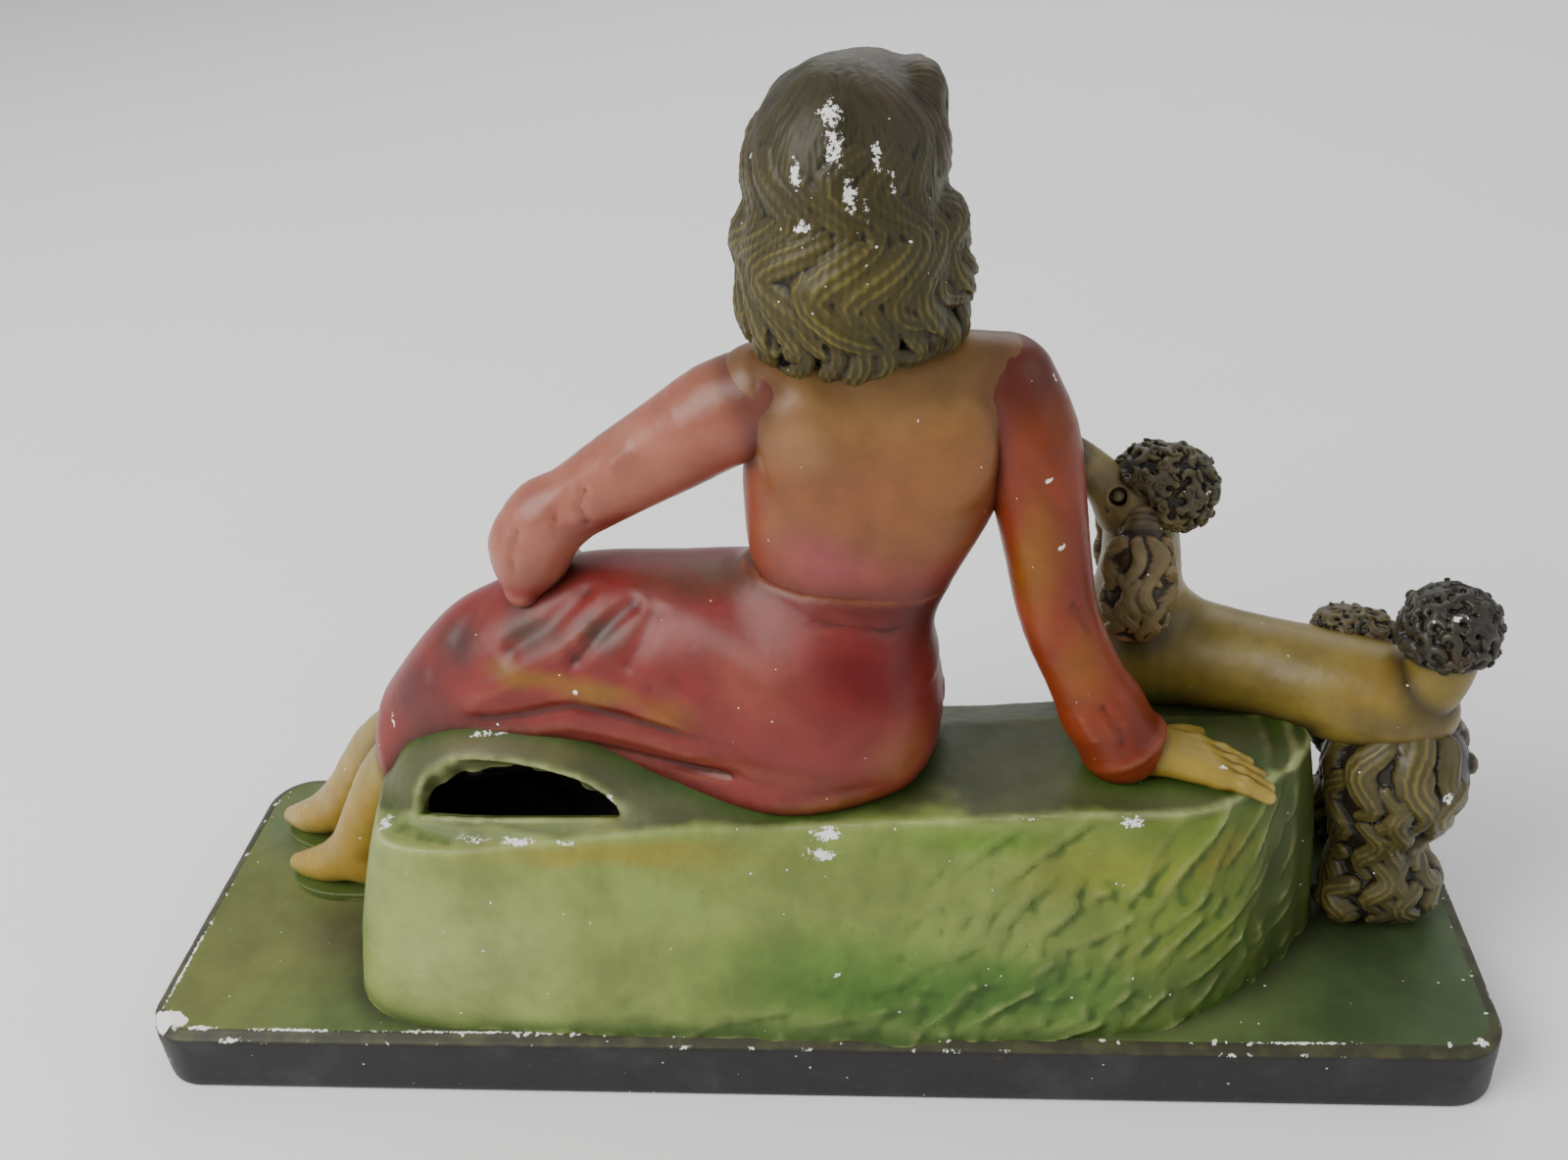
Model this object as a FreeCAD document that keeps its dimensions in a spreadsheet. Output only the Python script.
import FreeCAD, Part
import Sketcher
import os

# A painted plaster group: a lady in a long dress sits on a grassy bank with a
# clipped poodle beside her. Millimetres, +Z up. The origin is the centre of the
# underside of the base. The lady faces -Y and her left side is +X.

os.makedirs("parts", exist_ok=True)
doc = FreeCAD.newDocument("figurine")
sheet = doc.addObject("Spreadsheet::Sheet", "Sizes")
Vec = FreeCAD.Vector
rows = []


def size(name, value):
    """One named number in the sheet."""
    rows.append(name)
    line = len(rows)
    sheet.set("A%d" % line, name)
    sheet.set("B%d" % line, "%g" % value)
    sheet.setAlias("B%d" % line, name)
    return "Sizes." + name


def put(thing, name, centre):
    """Stand an object at a centre that the sheet holds."""
    for way, value in zip("xyz", centre):
        thing.setExpression("Placement.Base." + way, size("%s_at_%s" % (name, way), value))


def turned(axis, side):
    """The turn that faces a flat slice along the axis, with its long way along the side."""
    return FreeCAD.Rotation(Vec(*side), Vec(0, 0, 0), Vec(*axis), "ZXY")


def limb(name, side, stations):
    """A solid through oval slices: centre x, y, z, half of its long way, half of its short way."""
    centres = [Vec(*slice_[:3]) for slice_ in stations]
    rings = []
    for i, (x, y, z, wide, deep) in enumerate(stations):
        ahead = centres[min(i + 1, len(centres) - 1)]
        behind = centres[max(i - 1, 0)]
        label = "%s_slice_%s" % (name, "abcdefghijkl"[i])
        ring = doc.addObject("Part::Ellipse", label)
        ring.Placement = FreeCAD.Placement(Vec(x, y, z), turned(ahead - behind, side))
        ring.MajorRadius = wide
        ring.MinorRadius = deep
        ring.setExpression("MajorRadius", size(label + "_wide", wide))
        ring.setExpression("MinorRadius", size(label + "_deep", deep))
        put(ring, label, (x, y, z))
        rings.append(ring)
    solid = doc.addObject("Part::Loft", name)
    solid.Sections = rings
    solid.Solid = True
    solid.Ruled = False
    return solid


def ball(name, centre, radii, axis=(0, 0, 1), side=(1, 0, 0)):
    """An ellipsoid: its radii along the axis, along the side, and across both."""
    solid = doc.addObject("Part::Ellipsoid", name)
    solid.Placement = FreeCAD.Placement(Vec(*centre), turned(axis, side))
    solid.Angle1, solid.Angle2, solid.Angle3 = -90, 90, 360
    for number, word in ((1, "long"), (2, "wide"), (3, "deep")):
        value = radii[number - 1]
        solid.setExpression("Radius%d" % number, size("%s_%s" % (name, word), value))
    put(solid, name, centre)
    return solid


def block(name, corner, lengths):
    """A plain box from its low corner."""
    solid = doc.addObject("Part::Box", name)
    for word, value in zip(("Length", "Width", "Height"), lengths):
        solid.setExpression(word, size("%s_%s" % (name, word.lower()), value))
    put(solid, name, corner)
    return solid


def joined(name, pieces):
    whole = doc.addObject("Part::MultiFuse", name)
    whole.Shapes = pieces
    return whole


def minus(name, base, tools):
    """The base with every tool taken away, one cut after another."""
    for i, tool in enumerate(tools):
        cut = doc.addObject("Part::Cut", "%s_cut_%s" % (name, "abcdefghijkl"[i]))
        cut.Base = base
        cut.Tool = tool
        base = cut
    return base


made = {}


def finish(name, solid):
    """Give a finished sub-part its human name, which also names its file."""
    solid.Label = name
    made[name] = solid


# ---- the base: a slab with rounded corners and a bevelled top edge

LENGTH = size("base_length", 500)
WIDTH = size("base_width", 154)
SIDE = size("base_side_height", 27.5)
CORNER = size("base_corner_radius", 18)
BEVEL_RISE = size("base_bevel_rise", 2)
BEVEL_RUN = size("base_bevel_run", 4.5)
TOP = 27.5
doc.recompute()


def rounded_rectangle(body, name, length, width, radius, plane_offset):
    """A closed outline of four sides and four corner arcs, sized by expressions."""
    sketch = body.newObject("Sketcher::SketchObject", name)
    plane = [o for o in body.Origin.OriginFeatures if o.Role == "XY_Plane"][0]
    sketch.AttachmentSupport = [(plane, "")]
    sketch.MapMode = "FlatFace"
    sketch.AttachmentOffset = FreeCAD.Placement(Vec(0, 0, plane_offset), FreeCAD.Rotation())
    x, y, r = 200.0, 60.0, 10.0
    spots = [(x, -y + r), (x, y - r), (x - r, y), (-x + r, y)]
    spots += [(-x, y - r), (-x, -y + r), (-x + r, -y), (x - r, -y)]
    centres = [(x - r, y - r), (-x + r, y - r), (-x + r, -y + r), (x - r, -y + r)]
    starts = [0, 90, 180, 270]
    for i in range(4):
        a, b = spots[2 * i], spots[2 * i + 1]
        sketch.addGeometry(Part.LineSegment(Vec(a[0], a[1], 0), Vec(b[0], b[1], 0)))
        circle = Part.Circle(Vec(centres[i][0], centres[i][1], 0), Vec(0, 0, 1), r)
        low = starts[i] * 3.141592653589793 / 180
        sketch.addGeometry(Part.ArcOfCircle(circle, low, low + 3.141592653589793 / 2))
    for i in range(4):
        line, arc, after = 2 * i, 2 * i + 1, (2 * i + 2) % 8
        sketch.addConstraint(Sketcher.Constraint("Tangent", line, 2, arc, 1))
        sketch.addConstraint(Sketcher.Constraint("Tangent", arc, 2, after, 1))
    for i in (1, 2, 3):
        sketch.addConstraint(Sketcher.Constraint("Equal", 1, 2 * i + 1))
    for side in (0, 4):
        sketch.addConstraint(Sketcher.Constraint("Vertical", side))
    for side in (2, 6):
        sketch.addConstraint(Sketcher.Constraint("Horizontal", side))
    radius_at = sketch.addConstraint(Sketcher.Constraint("Radius", 1, r))
    sketch.setExpression("Constraints[%d]" % radius_at, radius)
    ends = [
        ("DistanceX", -1, 1, 0, 1, x, length), ("DistanceX", 4, 1, -1, 1, x, length),
        ("DistanceY", -1, 1, 2, 1, y, width), ("DistanceY", 6, 1, -1, 1, y, width),
    ]
    for way, first, corner, second, other, value, whole in ends:
        reach = Sketcher.Constraint(way, first, corner, second, other, value)
        reach_at = sketch.addConstraint(reach)
        sketch.setExpression("Constraints[%d]" % reach_at, "(%s) / 2" % whole)
    return sketch


plinth = doc.addObject("PartDesign::Body", "plinth_body")
outline = rounded_rectangle(plinth, "plinth_outline", LENGTH, WIDTH, CORNER, 0)
slab = plinth.newObject("PartDesign::Pad", "plinth_slab")
slab.Profile = outline
slab.setExpression("Length", SIDE)
doc.recompute()
top_edges = []
for i, edge in enumerate(slab.Shape.Edges):
    if abs(edge.BoundBox.ZMin - TOP) < 0.01 and abs(edge.BoundBox.ZMax - TOP) < 0.01:
        top_edges.append("Edge%d" % (i + 1))
bevel = plinth.newObject("PartDesign::Chamfer", "plinth_bevel")
bevel.Base = (slab, top_edges)
bevel.ChamferType = "Two distances"
bevel.setExpression("Size", BEVEL_RISE)
bevel.setExpression("Size2", BEVEL_RUN)
doc.recompute()
finish("plinth", plinth)

# ---- the lady

skirt_round = limb("skirt_round", (0, 0, 1), [
    (-53, 10, 136, 22, 20),
    (-42, 10, 141, 36, 34),
    (-20, 9, 147, 43, 40),
    (5, 7, 148, 45, 41),
    (35, 4, 147, 45.5, 38),
    (65, 0, 147, 46, 34),
    (92, -3, 143, 44, 31),
    (115, -5, 131, 40, 28),
    (135, -7, 117, 34, 24),
    (152, -8, 105, 26, 20),
    (163, -9, 97, 17, 14),
])
hip_round = ball("hip_round", (-20, 14, 142), (36, 38, 36))
skirt = joined("skirt_whole", [skirt_round, hip_round])

torso_round = limb("torso_round", (1, 0, 0), [
    (-22, 10, 158, 33, 25),
    (-25, 10, 176, 33, 22),
    (-31, 8, 198, 39, 23.5),
    (-37, 5, 222, 45, 27),
    (-39.5, 5, 243, 43.5, 24),
    (-39, 6, 257, 38, 17),
    (-37, 6, 267, 24, 12.5),
])
torso = minus("torso", torso_round, [skirt])

neck_round = limb("neck_round", (1, 0, 0), [
    (-37, 6, 262, 15, 13),
    (-36, 3, 272, 12, 11.5),
    (-35, 0, 284, 11.8, 11.5),
    (-35, -2, 300, 12, 11.5),
])

head_round = joined("head_round", [
    ball("skull", (-35, -4, 320), (29, 24, 29)),
    ball("jaw", (-36.5, -16, 303), (24, 17, 17)),
])

left_sleeve_round = limb("left_sleeve_round", (0, 1, 0), [
    (-6, 7, 252, 17.5, 16),
    (8, 7, 247, 18, 16.5),
    (26, 5, 236.5, 16.5, 15.5),
    (45, 3, 225.5, 14.5, 13.5),
    (62, 2, 216, 13.2, 12.2),
    (79, 2, 207, 14.2, 13.5),
    (92, 2, 200, 17.5, 17),
    (99, 2, 196, 17, 16.5),
])
left_shoulder = ball("left_shoulder", (-3, 7, 252), (18, 15, 18))
left_sleeve_whole = joined("left_sleeve_whole", [left_sleeve_round, left_shoulder])
left_sleeve = minus("left_sleeve", left_sleeve_whole, [torso_round, skirt])

right_sleeve_round = limb("right_sleeve_round", (0, 1, 0), [
    (-76, 7, 258, 16, 13),
    (-83, 8, 246, 18, 15.5),
    (-88, 10, 228, 16.8, 15),
    (-91, 13, 205, 14.8, 13.6),
    (-95, 16, 180, 13.2, 12.4),
    (-104, 18, 154, 12.6, 12),
    (-113, 20, 134, 14.4, 13.6),
    (-118, 21, 123, 16, 14.6),
])
right_shoulder = ball("right_shoulder", (-79, 7, 253), (17.5, 16, 15.5))
right_sleeve_whole = joined("right_sleeve_whole", [right_sleeve_round, right_shoulder])
right_sleeve = minus("right_sleeve", right_sleeve_whole, [torso_round])

left_hand_round = limb("left_hand_round", (1, 0, 0), [
    (97, 0, 193, 11, 7),
    (102, -9, 189, 12, 6.5),
    (107, -20, 182, 14, 6.5),
    (110, -31, 172, 13, 6),
    (112, -40, 160, 10, 5),
    (113, -45, 151, 6, 3.5),
])
left_hand = minus("left_hand", left_hand_round, [left_sleeve_whole, skirt])

right_hand_round = limb("right_hand_round", (0, 1, 0), [
    (-117, 21, 121, 9.5, 8),
    (-127, 21.5, 118, 10, 7.5),
    (-137, 23, 115, 13, 6.5),
    (-150, 26, 112.5, 12.5, 5.5),
    (-160, 28, 110.5, 10.5, 4.5),
    (-167, 29.5, 109.5, 6.5, 3),
])
right_hand = minus("right_hand", right_hand_round, [right_sleeve_round])

left_foot_round = limb("left_foot_round", (0, 1, 0), [
    (150, -4, 101, 14, 12),
    (166, -6, 83, 12, 11),
    (176, -6, 64, 11.5, 10.5),
    (184, -5, 49, 12.5, 11.5),
    (196, -6, 39, 12.2, 8.5),
    (209, -9, 35, 9, 5.5),
    (217, -11, 34, 4, 3),
])
left_heel = ball("left_heel", (178, -4, 41), (9, 12, 10))
right_foot_round = limb("right_foot_round", (0, 1, 0), [
    (154, -19, 101, 13, 12),
    (172, -24, 86, 12, 11),
    (186, -29, 68, 11.5, 10.5),
    (196, -31, 52, 12.2, 11.5),
    (209, -34, 41, 12, 8.5),
    (222, -38, 36.5, 9, 5.5),
    (230, -41, 35, 4, 3),
])
right_heel = ball("right_heel", (190, -30, 43), (9, 12, 10))
left_foot_whole = joined("left_foot_whole", [left_foot_round, left_heel])
right_foot_whole = joined("right_foot_whole", [right_foot_round, right_heel])

left_sole_round = ball("left_sole_round", (194, -7, TOP), (3.4, 25, 12), (0, 0, 1), (1, -0.13, 0))
right_sole_round = ball("right_sole_round", (207, -34, TOP), (3.4, 25, 12), (0, 0, 1), (1, -0.25, 0))
below_top = block("below_top", (-260, -90, TOP - 60), (520, 180, 60))
left_sole = minus("left_sole", left_sole_round, [below_top])
right_sole = minus("right_sole", right_sole_round, [below_top])
left_foot_clear = minus("left_foot_clear", left_foot_whole, [below_top])
right_foot_clear = minus("right_foot_clear", right_foot_whole, [below_top])
left_foot = minus("left_foot", left_foot_clear, [skirt, left_sole_round, right_foot_whole])
right_foot = minus("right_foot", right_foot_clear, [skirt, right_sole_round])

hair_round = joined("hair_round", [
    ball("hair_crown", (-35, 2, 322), (35, 33, 32)),
    ball("hair_back", (-31, 11, 293), (33, 38, 25)),
    ball("hair_left_roll", (-3, -1, 300), (22, 11, 15)),
    ball("hair_right_roll", (-62, -2, 297), (22, 11, 15)),
    ball("hair_front_roll", (-52, -16, 344), (9, 16, 11), (0, 0, 1), (1, 0.3, 0)),
    ball("hair_front_wave", (-24, -18, 342), (9, 17, 11), (0, 0, 1), (1, -0.3, 0)),
])
face_window = ball("face_window", (-38, -34, 303), (30, 19, 22))
hair_bare = minus("hair", hair_round, [head_round, neck_round, torso_round, face_window])

# ---- the dog

dog_body_round = limb("dog_body_round", (0, 0, 1), [
    (-226, 1, 116, 12, 10),
    (-216, -2, 119, 18.5, 17),
    (-196, -12, 121, 19, 17.5),
    (-174, -23, 120, 17.8, 16.5),
    (-152, -33, 119, 20, 18.5),
    (-132, -42, 119, 22.5, 20),
    (-116, -49, 120, 19, 17),
    (-108, -53, 121, 11, 10),
])
dog_neck_round = limb("dog_neck_round", (1, 0, 0), [
    (-127, -43, 122, 19, 17.5),
    (-128, -41, 142, 16, 15),
    (-129, -38, 160, 13.5, 13),
    (-128, -35, 176, 12.5, 12),
])
dog_body = joined("dog_body", [dog_body_round, dog_neck_round])
dog_head_round = joined("dog_head_round", [
    ball("dog_skull", (-127, -34, 183), (15, 14, 14.5)),
    limb("dog_muzzle", (0, 1, 0), [
        (-122, -34, 186, 10.5, 9.5),
        (-113, -33, 196, 8.2, 7.8),
        (-106, -32, 205, 6.6, 6.2),
        (-102, -31.5, 210, 4.6, 4.2),
    ]),
])
topknot_round = ball("dog_topknot_round", (-139.5, -33.4, 192.6), (14, 16.5, 15.5), (0.1, 0.2, 1), (1, 0.35, 0))
dog_head = minus("dog_head", dog_head_round, [dog_body, topknot_round])
dog_trunk = minus("dog_trunk", dog_body, [topknot_round])
ear_right_round = limb("dog_ear_right_round", (1, 0, 0), [
    (-128, -20, 186, 6, 3.5),
    (-127, -17.5, 176, 9.5, 5),
    (-126.5, -17, 162, 11, 6),
    (-127, -19, 147, 10, 6),
    (-127.5, -21, 136, 5.5, 4),
])
ear_left_round = limb("dog_ear_left_round", (1, 0, 0), [
    (-129, -48, 186, 6, 3.5),
    (-128, -51, 176, 9.5, 5),
    (-127.5, -52, 162, 11, 6),
    (-128, -53, 147, 10, 6),
    (-128.5, -54, 136, 5.5, 4),
])
dog_ear_right = minus("dog_ear_right", ear_right_round, [dog_head_round, dog_body, topknot_round])
dog_ear_left = minus("dog_ear_left", ear_left_round, [dog_head_round, dog_body, topknot_round])

hind_right_whole = joined("hind_right_whole", [
    ball("thigh_right", (-220, 2, 92), (26, 25, 21)),
    limb("hock_right", (1, 0, 0), [
        (-217, 3, 84, 20, 15),
        (-216, 4, 66, 15, 12.5),
        (-218, 5, 50, 14.5, 13),
    ]),
    ball("paw_right", (-220.5, 4, 42), (17.5, 21, 17)),
])
hind_left_whole = joined("hind_left_whole", [
    ball("thigh_left", (-218, -37, 93), (24, 22, 16)),
    limb("hock_left", (1, 0, 0), [
        (-220, -38, 80, 10, 9),
        (-221, -39, 60, 8, 7.5),
        (-221, -39, 45, 9, 8.5),
    ]),
    ball("paw_left", (-219, -39, 43), (17, 18, 14), (0, 0, 1), (1, 0.35, 0)),
])
hind_right_clear = minus("hind_right_clear", hind_right_whole, [below_top])
hind_left_clear = minus("hind_left_clear", hind_left_whole, [below_top])
dog_hind_leg_right = minus("dog_hind_leg_right", hind_right_clear, [dog_body])
dog_hind_leg_left = minus("dog_hind_leg_left", hind_left_clear, [dog_body, hind_right_whole])

fore_right_whole = joined("fore_right_whole", [
    limb("fore_right", (1, 0, 0), [
        (-113, -41, 112, 10.5, 10),
        (-110, -40, 90, 8, 7.5),
        (-108, -40, 64, 7, 6.5),
        (-107, -41, 42, 7.5, 7),
    ]),
    ball("fore_paw_right", (-105.5, -42.5, 37), (14, 13, 11), (0, 0, 1), (1, -0.2, 0)),
    ball("fore_cuff_right", (-108.4, -40.3, 57), (11, 12, 12), (0, 0, 1), (1, 0.4, 0)),
])
fore_left_whole = joined("fore_left_whole", [
    limb("fore_left", (1, 0, 0), [
        (-123, -58, 112, 10.5, 9),
        (-121, -60, 90, 8, 7.5),
        (-119, -61, 64, 7, 6.5),
        (-118, -61, 42, 7.5, 7),
    ]),
    ball("fore_paw_left", (-116.5, -61.8, 37), (14, 13, 10), (0, 0, 1), (1, -0.2, 0)),
    ball("fore_cuff_left", (-119.4, -61.3, 57), (11, 12, 11), (0, 0, 1), (1, 0.4, 0)),
])
fore_right_clear = minus("fore_right_clear", fore_right_whole, [below_top])
fore_left_clear = minus("fore_left_clear", fore_left_whole, [below_top])
dog_front_leg_right = minus("dog_front_leg_right", fore_right_clear, [dog_body])
dog_front_leg_left = minus("dog_front_leg_left", fore_left_clear, [dog_body, fore_right_whole])

tail_round = limb("dog_tail_round", (1, 0, 0), [
    (-220, 1, 122, 10.5, 10),
    (-226, 2, 132, 10, 9.5),
    (-229, 2, 141, 9.5, 9),
    (-230, 2, 150, 9, 8.5),
])
pompon_round = ball("dog_pompon_round", (-229.5, 2, 155), (16, 17, 16))
dog_tail_stalk = minus("dog_tail_stalk", tail_round, [dog_body, pompon_round])
hip_tuft_round = ball("dog_hip_tuft_round", (-204, -26, 137), (7, 12, 8), (0, 0, 1), (1, -0.4, 0))
dog_hip_tuft = minus("dog_hip_tuft", hip_tuft_round, [dog_body])

# ---- the bank: a hollow mound with an opening in the slope behind the skirt

def outline_wire(name, height, corners):
    """A closed outline at one height whose corners the sheet holds."""
    rim = doc.addObject("Part::Feature", name)
    points = []
    for i, (x, y) in enumerate(corners):
        letter = "abcdefghijklmnop"[i]
        size("%s_%s_at_x" % (name, letter), x)
        size("%s_%s_at_y" % (name, letter), y)
    size(name + "_height", height)
    doc.recompute()
    for i in range(len(corners)):
        letter = "abcdefghijklmnop"[i]
        points.append(Vec(
            sheet.get("%s_%s_at_x" % (name, letter)),
            sheet.get("%s_%s_at_y" % (name, letter)),
            0,
        ))
    curve = Part.BSplineCurve()
    curve.interpolate(Points=points, PeriodicFlag=True)
    rim.Shape = Part.Wire([curve.toShape()])
    rim.Placement = FreeCAD.Placement(Vec(0, 0, sheet.get(name + "_height")), FreeCAD.Rotation())
    return rim


def mound(name, levels):
    rims = []
    for i, (height, corners) in enumerate(levels):
        rims.append(outline_wire("%s_level_%s" % (name, "abcdef"[i]), height, corners))
    solid = doc.addObject("Part::Loft", name)
    solid.Sections = rims
    solid.Solid = True
    solid.Ruled = True
    return solid


def spread(corners, grow):
    """The same outline drawn in towards its middle, for the inner wall."""
    return [(x - grow * sx, y - grow * sy) for x, y, sx, sy in corners]


FOOT = [
    (174, 10, 1, 0), (168, 52, 0.8, 0.7), (140, 70, 0.2, 1), (70, 72, 0, 1), (0, 73, 0, 1),
    (-70, 72, 0, 1), (-128, 66, -0.3, 1), (-172, 38, -0.8, 0.7), (-196, 4, -1, 0),
    (-182, -26, -0.5, -0.8), (-134, -38, -0.2, -1), (-80, -46, -0.2, -1), (-20, -62, 0, -1),
    (60, -64, 0, -1), (130, -56, 0.3, -1), (166, -26, 0.9, -0.5),
]
CREST = [
    (150, 12, 1, 0), (146, 38, 0.8, 0.7), (126, 51, 0.2, 1), (70, 51, 0, 1), (0, 50, 0, 1),
    (-70, 49, 0, 1), (-130, 49, -0.3, 1), (-162, 36, -0.8, 0.7), (-187, 10, -1, 0),
    (-176, -18, -0.5, -0.8), (-132, -30, -0.2, -1), (-78, -28, -0.2, -1), (-20, -34, 0, -1),
    (60, -38, 0, -1), (120, -32, 0.3, -1), (146, -12, 0.9, -0.5),
]
bank_outer = mound("bank_outer", [
    (TOP, [(x, y) for x, y, sx, sy in FOOT]),
    (108, [(x, y) for x, y, sx, sy in CREST]),
])
WALL = 9
bank_inner = mound("bank_inner", [
    (TOP, spread(FOOT, WALL + 2)),
    (97, spread(CREST, WALL)),
])
hump = ball("bank_hump", (92, 15, 98), (34, 62, 38))
hump_inner = ball("bank_hump_inner", (92, 13, 97), (27, 53, 30))
bank_solid = minus("bank_solid", joined("bank_whole", [bank_outer, hump]), [below_top])
mouth = limb("bank_mouth", (1, 0, 0), [
    (97, 26, 125, 35, 8),
    (97, 40, 116, 35, 8.5),
    (97, 66, 99, 35, 9),
])
bank_hollow = joined("bank_hollow", [bank_inner, hump_inner, mouth])
bank = minus("bank", bank_solid, [
    bank_hollow, skirt, right_hand_round, right_sleeve_round, dog_body,
    hind_right_whole, hind_left_whole, fore_right_whole, left_foot_whole, right_foot_whole,
])

# ---- iron wires cast inside the thin parts

left_wire = limb("left_wire", (0, 1, 0), [
    (12, 7, 244.5, 1.5, 1.5), (45, 3, 225.5, 1.5, 1.5), (84, 2, 204.5, 1.5, 1.5),
])
right_wire = limb("right_wire", (0, 1, 0), [
    (-88, 10, 232, 1.5, 1.5), (-91, 13, 205, 1.5, 1.5), (-95, 16, 180, 1.5, 1.5),
    (-104, 18, 154, 1.5, 1.5), (-110, 19.5, 140, 1.5, 1.5),
])
neck_wire = limb("neck_wire_rod", (1, 0, 0), [
    (-36, 3, 272, 1.8, 1.8), (-35.2, 1, 284, 1.8, 1.8), (-35, -0.5, 292, 1.8, 1.8),
])
tail_wire = limb("tail_wire_rod", (1, 0, 0), [
    (-224.5, 2, 130, 1.3, 1.3), (-227.5, 2, 137, 1.3, 1.3),
])

finish("bank", bank)
finish("skirt", skirt)
finish("torso", torso)
finish("neck", minus("neck", neck_round, [torso_round, head_round, neck_wire]))
finish("face", head_round)
finish("hair", hair_bare)
finish("left_sleeve", minus("left_sleeve_bored", left_sleeve, [left_wire]))
finish("right_sleeve", minus("right_sleeve_bored", right_sleeve, [right_wire]))
finish("left_hand", left_hand)
finish("right_hand", right_hand)
finish("left_foot", left_foot)
finish("right_foot", right_foot)
finish("left_shoe_sole", left_sole)
finish("right_shoe_sole", right_sole)
finish("dog_body", dog_trunk)
finish("dog_head", dog_head)
finish("dog_topknot", topknot_round)
finish("dog_ear_right", dog_ear_right)
finish("dog_ear_left", dog_ear_left)
finish("dog_hind_leg_right", dog_hind_leg_right)
finish("dog_hind_leg_left", dog_hind_leg_left)
finish("dog_front_leg_right", dog_front_leg_right)
finish("dog_front_leg_left", dog_front_leg_left)
finish("dog_tail_stalk", minus("dog_tail_bored", dog_tail_stalk, [tail_wire]))
finish("dog_tail_pompon", pompon_round)
finish("dog_hip_tuft", dog_hip_tuft)
finish("left_arm_wire", left_wire)
finish("right_arm_wire", right_wire)
finish("neck_wire", neck_wire)
finish("dog_tail_wire", tail_wire)

doc.recompute()
broken = [o.Label for o in doc.Objects if "Invalid" in o.State or "Error" in o.State]
if broken:
    raise RuntimeError("these did not build: " + ", ".join(broken))
for name, solid in made.items():
    shape = solid.Shape
    if shape.isNull() or not shape.isValid():
        raise RuntimeError("%s is not a sound solid" % name)
    print("%-22s solids %d volume %9.0f box %s" % (
        name, len(shape.Solids), shape.Volume,
        " ".join("%.0f" % v for v in (
            shape.BoundBox.XMin, shape.BoundBox.XMax, shape.BoundBox.YMin,
            shape.BoundBox.YMax, shape.BoundBox.ZMin, shape.BoundBox.ZMax,
        )),
    ))
    shape.exportStep("parts/%s.step" % name)
